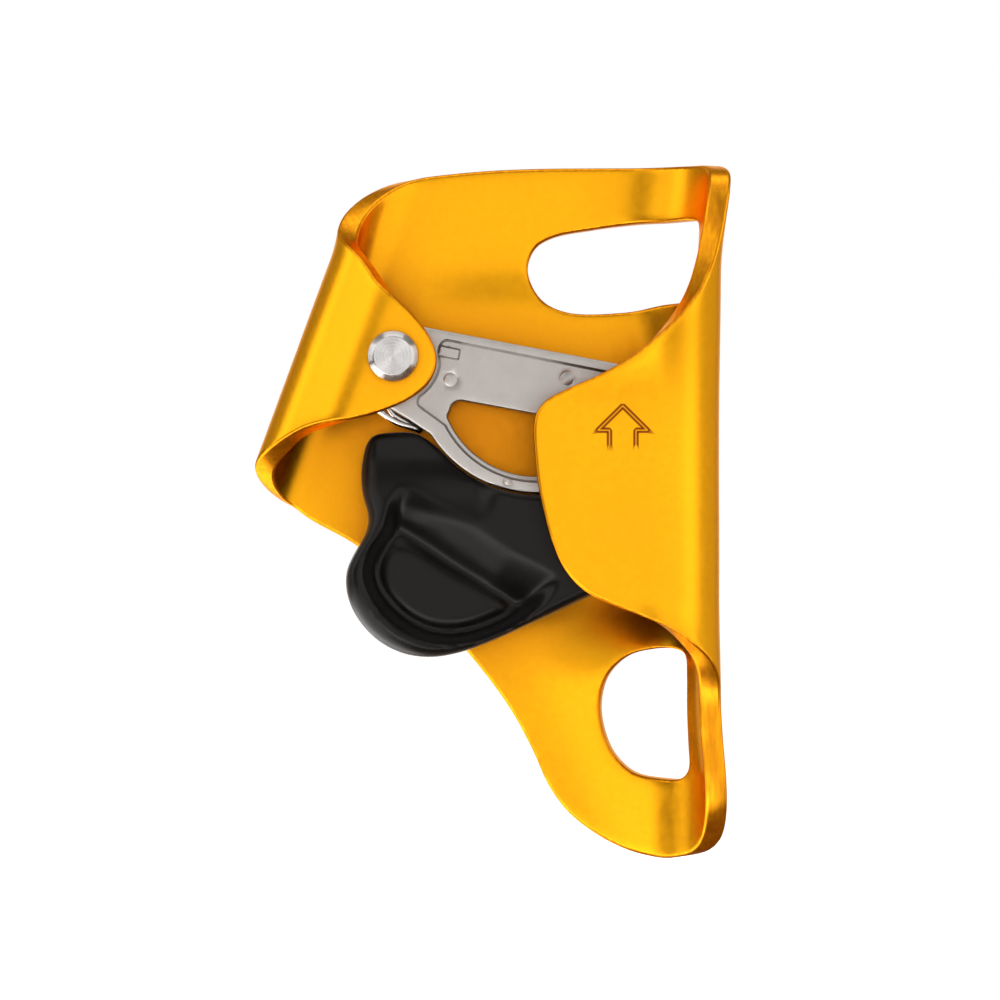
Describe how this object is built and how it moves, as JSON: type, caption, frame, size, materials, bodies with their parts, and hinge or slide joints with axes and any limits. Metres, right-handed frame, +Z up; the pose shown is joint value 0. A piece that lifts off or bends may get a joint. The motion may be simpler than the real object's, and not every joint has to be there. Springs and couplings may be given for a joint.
{
  "type": "chest ascender",
  "caption": "Compact chest rope clamp: folded aluminium frame with a rope channel, sprung toothed cam and black safety catch.",
  "frame": {"origin": "centre of the lower attachment hole, in the middle of the back plate's thickness", "axes": "+Z up along the rope towards the upper hole, -Y out of the front (the side with the flap and the ear), +X towards the rope channel's wall"},
  "size_m": [0.0712, 0.023, 0.1046],
  "materials": {
    "gold_aluminium": "satin gold anodised",
    "stainless_sheet": "fine brushed",
    "turned_steel": "turned, bright",
    "washer_steel": "plain",
    "cast_steel": "satin investment cast",
    "bronze": "plain",
    "spring_wire": "bright drawn",
    "black_plastic": "satin moulded"
  },
  "bodies": {
    "frame_body": {"frame": "gold_aluminium", "wear_plate": "stainless_sheet", "axle_rivet": "turned_steel", "rear_washer": "washer_steel", "front_washer": "washer_steel"},
    "cam_body": {"cam": "cast_steel", "cam_bush": "bronze", "catch_pin": "turned_steel", "cam_spring": "spring_wire"},
    "catch_body": {"catch": "black_plastic", "catch_spring": "spring_wire"}
  },
  "joints": [
    {"name": "cam_pivot", "type": "hinge", "parent": "frame_body", "child": "cam_body", "pos_m": [-0.03865, -0.008, 0.0537], "axis": [0, 1, 0], "range_deg": [0, 32], "stiffness_Nm_per_rad": 0.03, "springref_deg": -51.57, "deforming": ["cam_spring"]},
    {"name": "catch_pivot", "type": "hinge", "parent": "cam_body", "child": "catch_body", "pos_m": [-0.006, -0.0075, 0.0294], "axis": [0, -1, 0], "range_deg": [0, 12], "stiffness_Nm_per_rad": 0.015, "springref_deg": -51.57, "deforming": ["catch_spring"]}
  ]
}
